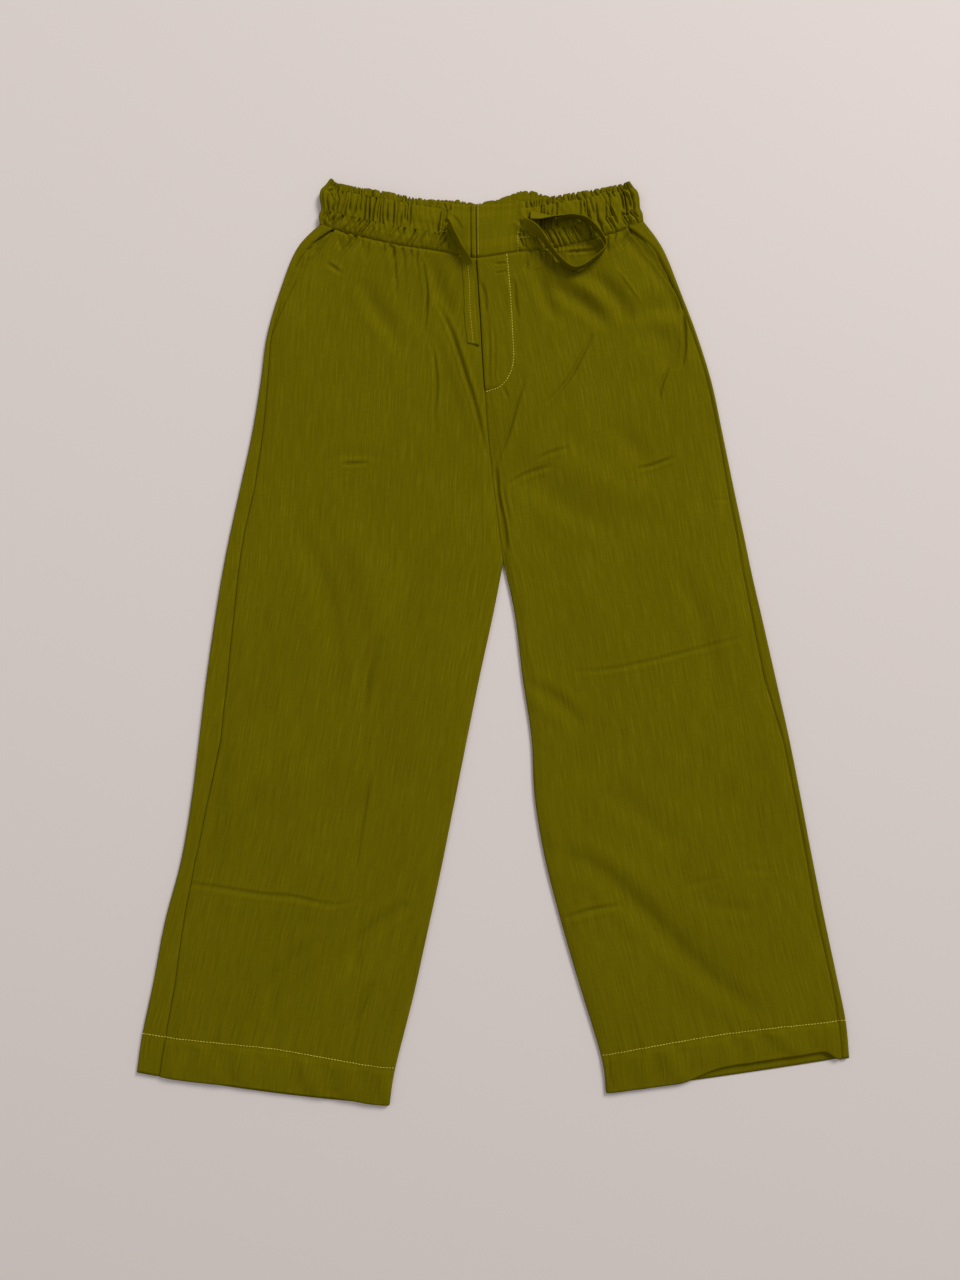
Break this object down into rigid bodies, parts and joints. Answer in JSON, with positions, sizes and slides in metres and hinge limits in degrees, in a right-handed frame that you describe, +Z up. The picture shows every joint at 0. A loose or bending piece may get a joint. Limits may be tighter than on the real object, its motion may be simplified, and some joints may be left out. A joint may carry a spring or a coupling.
{
  "type": "palazzo pants",
  "caption": "Wide-leg trousers laid flat, front up, with a gathered elastic waistband, mock fly, slanted pockets and a flat drawstring.",
  "frame": {"origin": "on the surface that the trousers lie on, under the middle of their box", "axes": "+Z up, away from the surface; +Y from the hems to the waist; +X towards the wearer's left leg"},
  "size_m": [0.746, 0.9686, 0.0214],
  "materials": {
    "cloth": "matt slubbed plain weave, olive green",
    "waistband_cloth": "matt slubbed plain weave, olive green, gathered",
    "drawstring_cloth": "matt slubbed plain weave, olive green, folded and stitched"
  },
  "bodies": {
    "root": {"back_right": "cloth", "back_left": "cloth", "front_right": "cloth", "front_left": "cloth", "pocket_facing_right": "cloth", "pocket_facing_left": "cloth", "fly_placket": "cloth", "waistband_back": "waistband_cloth", "waistband_front_right": "waistband_cloth", "waistband_front_left": "waistband_cloth", "drawstring_right_end": "drawstring_cloth", "drawstring_left_end": "drawstring_cloth"}
  },
  "joints": []
}
